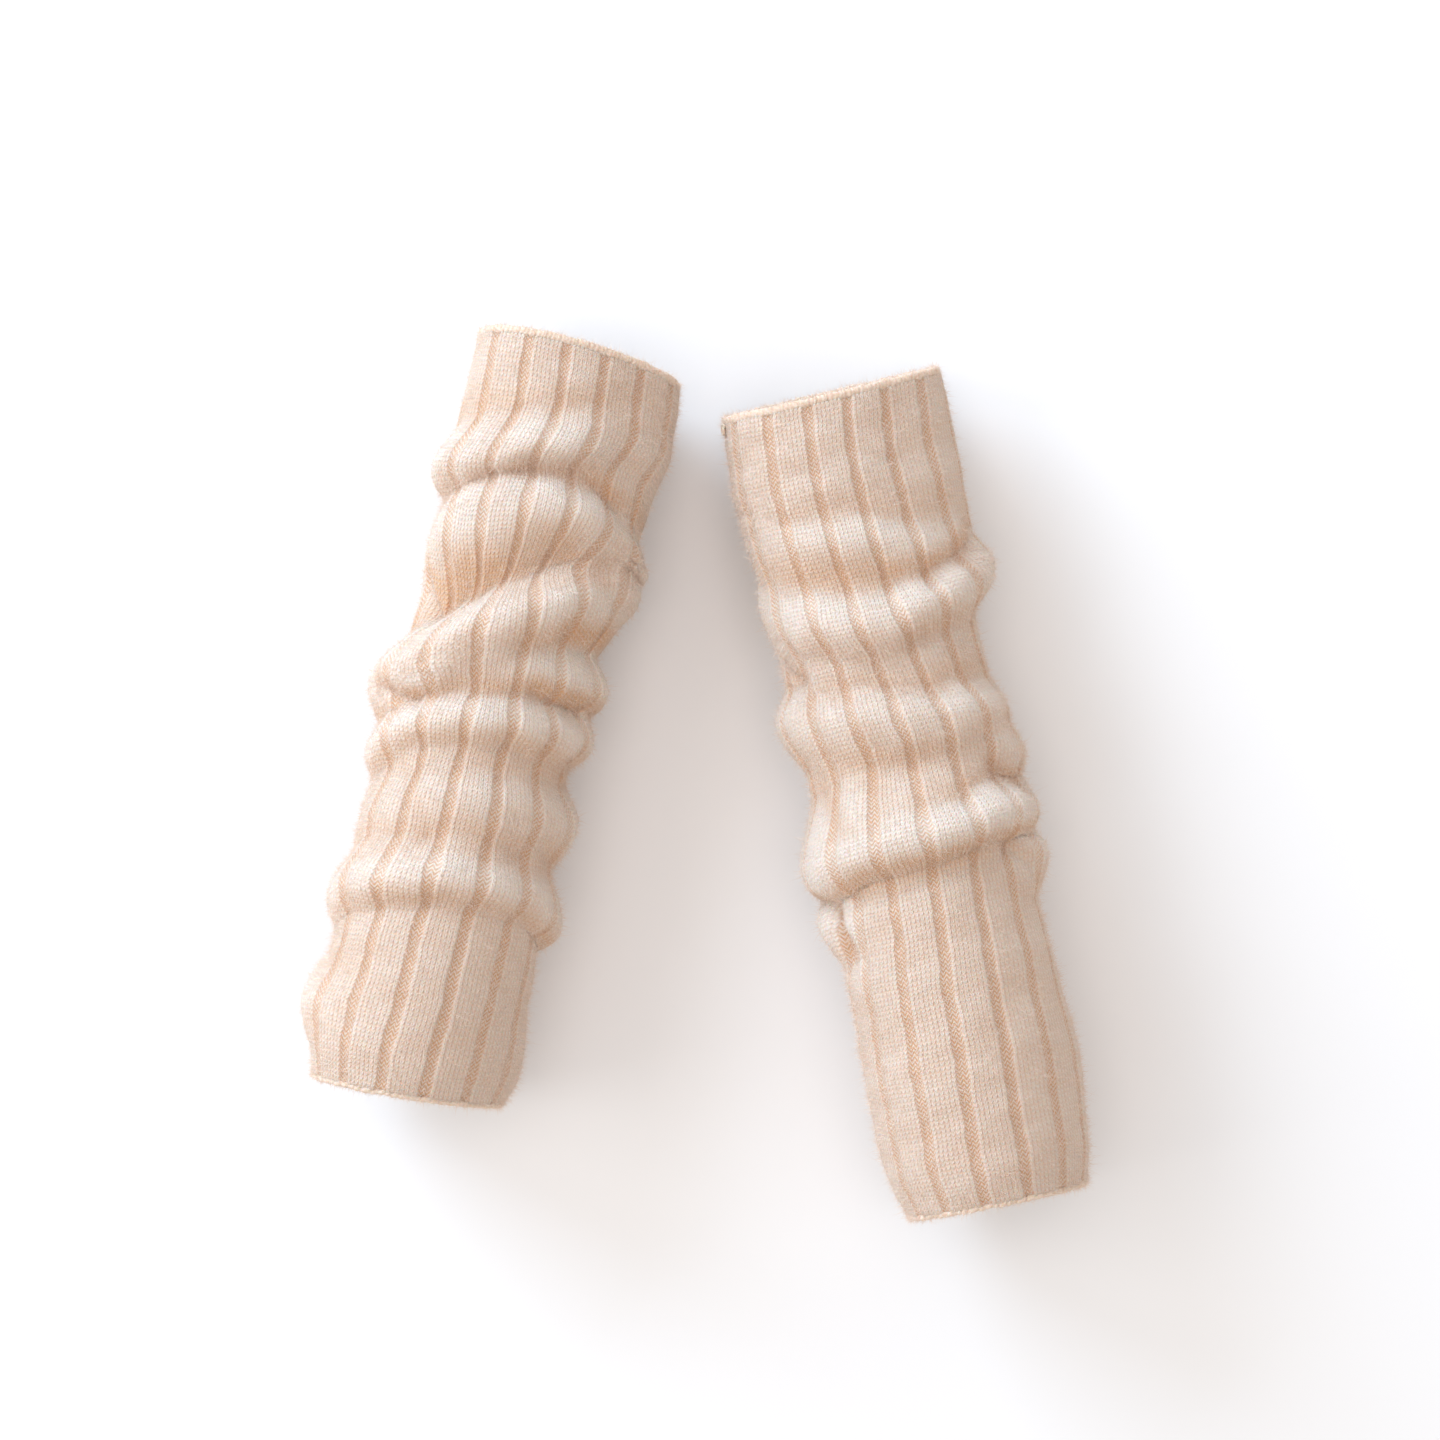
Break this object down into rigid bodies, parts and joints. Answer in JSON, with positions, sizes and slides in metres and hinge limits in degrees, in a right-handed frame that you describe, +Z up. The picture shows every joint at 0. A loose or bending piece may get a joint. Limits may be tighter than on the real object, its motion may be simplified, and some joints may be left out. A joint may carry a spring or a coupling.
{
  "type": "pair of knitted arm warmers",
  "caption": "Rib-knit cashmere arm warmers worn slouched on the forearms, hollow tubes open at the wrist and elbow with a linked wrist edge and a bound-off elbow edge.",
  "frame": {"origin": "the point on the left warmer's hollow axis where the forearm holds it, 160 mm from its hand end", "axes": "+X to the wearer's right, +Y towards the hands, +Z up from the table the arms lie over"},
  "size_m": [0.3359, 0.3861, 0.0944],
  "materials": {
    "rib_knit": "brushed rib knit in pale peach cashmere yarn, matte",
    "linked_edging": "rolled and linked course of the same yarn, matte",
    "bound_off_edging": "bound-off course of the same yarn, matte"
  },
  "bodies": {
    "root": {"left_tube": "rib_knit", "left_wrist_edge": "linked_edging", "left_elbow_edge": "bound_off_edging", "right_tube": "rib_knit", "right_wrist_edge": "linked_edging", "right_elbow_edge": "bound_off_edging"}
  },
  "joints": []
}
